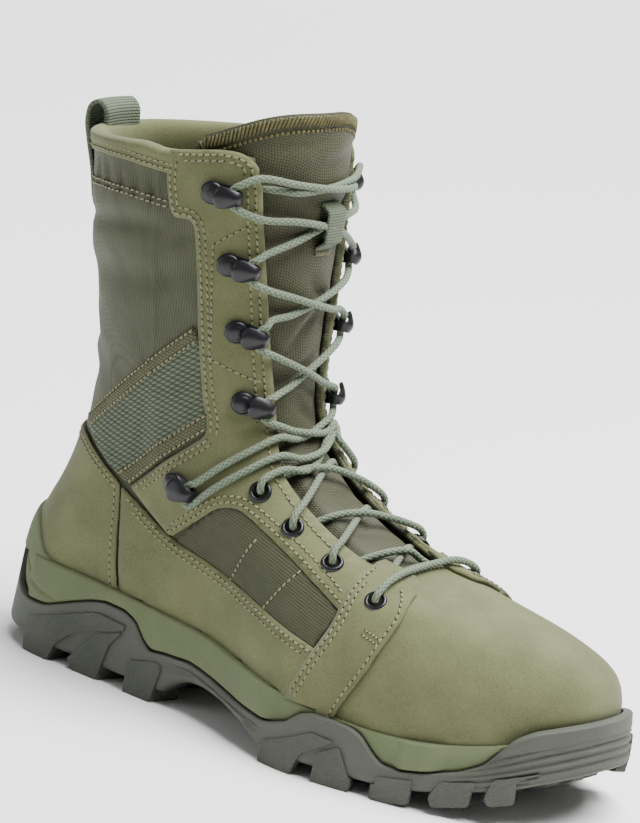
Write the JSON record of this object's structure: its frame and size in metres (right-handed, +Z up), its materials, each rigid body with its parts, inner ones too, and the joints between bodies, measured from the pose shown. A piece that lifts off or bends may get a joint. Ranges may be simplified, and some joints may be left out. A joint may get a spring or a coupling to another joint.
{
  "type": "tactical boot",
  "caption": "Laced high boot with a lugged rubber outsole, foam midsole, hollow upper open at collar and throat, tongue, suede panels, webbing strap, speed hooks, eyelets and a pull loop.",
  "frame": {"origin": "on the floor, under the middle of the boot's box", "axes": "+X to the toe, +Y to the inner side of the right foot, +Z up"},
  "size_m": [0.2944, 0.1162, 0.2495],
  "materials": {
    "outsole_rubber": "matt moulded rubber, grey-green",
    "midsole_foam": "matt moulded foam, olive",
    "insole_cloth": "dark cloth over foam",
    "upper_cloth": "coarse woven nylon, dark olive",
    "tongue_cloth": "padded woven nylon, dark olive",
    "suede": "olive suede with a short nap",
    "webbing": "coarse sage webbing",
    "lace_cord": "round braided cord, sage",
    "black_metal": "black coated steel",
    "gunmetal": "dark polished metal"
  },
  "bodies": {
    "root": {"outsole": "outsole_rubber", "midsole": "midsole_foam", "insole": "insole_cloth", "upper": "upper_cloth", "tongue": "tongue_cloth", "lace_keeper": "webbing", "eyestay_outer": "suede", "eyestay_inner": "suede", "foxing_outer": "suede", "foxing_inner": "suede", "strap_outer": "webbing", "strap_inner": "webbing", "counter": "suede", "cuff": "suede", "hook_outer_1": "black_metal", "hook_outer_2": "black_metal", "hook_outer_3": "black_metal", "hook_outer_4": "black_metal", "hook_outer_5": "black_metal", "hook_inner_1": "black_metal", "hook_inner_2": "black_metal", "hook_inner_3": "black_metal", "hook_inner_4": "black_metal", "hook_inner_5": "black_metal", "eyelet_outer_1": "gunmetal", "eyelet_outer_2": "gunmetal", "eyelet_outer_3": "gunmetal", "eyelet_outer_4": "gunmetal", "eyelet_inner_1": "gunmetal", "eyelet_inner_2": "gunmetal", "eyelet_inner_3": "gunmetal", "eyelet_inner_4": "gunmetal", "lace": "lace_cord", "lace_bar_toe": "lace_cord", "lace_bar_top": "lace_cord", "pull_loop": "webbing"}
  },
  "joints": []
}
